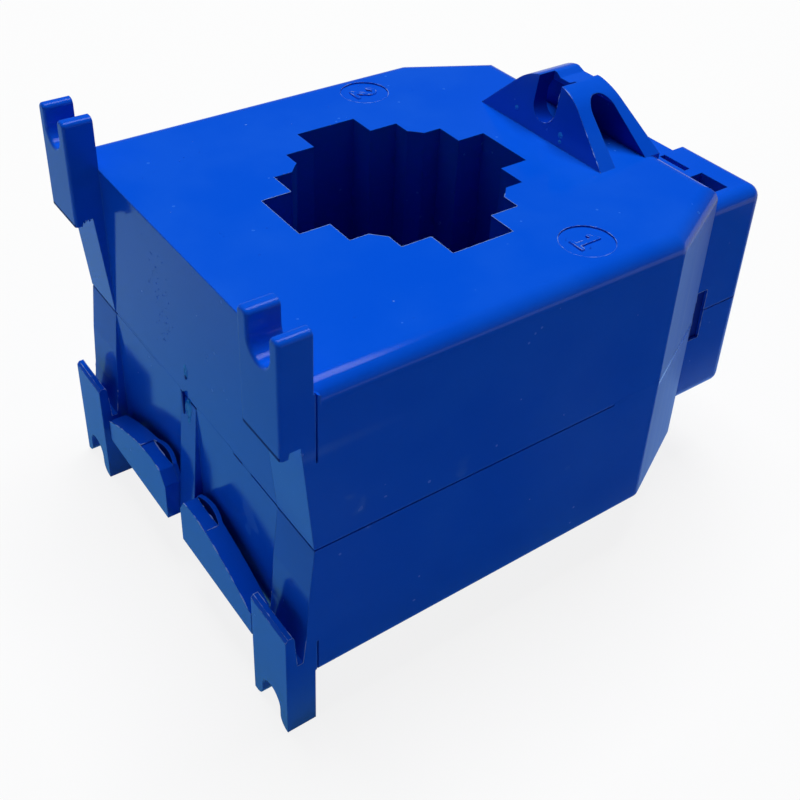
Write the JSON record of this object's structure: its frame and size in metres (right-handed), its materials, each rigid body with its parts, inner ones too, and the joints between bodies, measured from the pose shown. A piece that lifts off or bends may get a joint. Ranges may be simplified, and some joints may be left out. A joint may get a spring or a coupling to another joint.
{
  "type": "window current transformer",
  "caption": "Moulded window current transformer with a stepped busbar window, rail clip feet, clamp brackets and a screw terminal box.",
  "frame": {"origin": "on the window axis, in the plane the part rests on when it lies on its back face", "axes": "+Z along the window axis to the front face, +X from the feet to the terminal box, +Y to the side of mark 2"},
  "size_m": [0.0954, 0.07, 0.0691],
  "materials": {
    "housing": "satin blue moulded plastic",
    "core_steel": "wound strip, satin",
    "cup": "matt black insulating plastic",
    "winding": "enamelled copper wire, gloss",
    "tape": "yellow polyester tape",
    "foam": "matt soft foam",
    "lead": "insulated wire",
    "insert": "matt dark plastic",
    "plated_brass": "nickel plated",
    "screw": "zinc plated",
    "copper": "tinned copper"
  },
  "bodies": {
    "housing": {"front_shell": "housing", "back_shell": "housing", "core": "core_steel", "front_core_cup": "cup", "back_core_cup": "cup", "secondary_winding": "winding", "winding_tape": "tape", "front_core_cushion": "foam", "back_core_cushion": "foam", "lead_s1": "lead", "lead_s2": "lead", "terminal_block": "insert", "current_bar_s1": "copper", "current_bar_s2": "copper"},
    "clamp_screw_s1": {"screw_s1": "screw"},
    "clamp_cage_s1": {"cage_s1": "plated_brass"},
    "clamp_screw_s2": {"screw_s2": "screw"},
    "clamp_cage_s2": {"cage_s2": "plated_brass"},
    "flap": {"terminal_cover": "housing"}
  },
  "joints": [
    {"name": "screw_turn_s1", "type": "hinge", "parent": "housing", "child": "clamp_screw_s1", "pos_m": [0.04961, -0.01955, 0.04575], "axis": [-1, 0, 0], "range_deg": [0, 1368]},
    {"name": "cage_rise_s1", "type": "slide", "parent": "housing", "child": "clamp_cage_s1", "axis": [1, 0, 0], "range_m": [0, 0.0019]},
    {"name": "screw_turn_s2", "type": "hinge", "parent": "housing", "child": "clamp_screw_s2", "pos_m": [0.04961, 0.01955, 0.04575], "axis": [-1, 0, 0], "range_deg": [0, 1368]},
    {"name": "cage_rise_s2", "type": "slide", "parent": "housing", "child": "clamp_cage_s2", "axis": [1, 0, 0], "range_m": [0, 0.0019]},
    {"name": "cover_hinge", "type": "hinge", "parent": "housing", "child": "flap", "pos_m": [0.05356, 0, 0.0387], "axis": [0, 1, 0], "range_deg": [0, 95]}
  ],
  "couplings": [
    {"joint": "screw_turn_s1", "follows": "cage_rise_s1", "rad_per_m": 12566},
    {"joint": "screw_turn_s2", "follows": "cage_rise_s2", "rad_per_m": 12566}
  ]
}
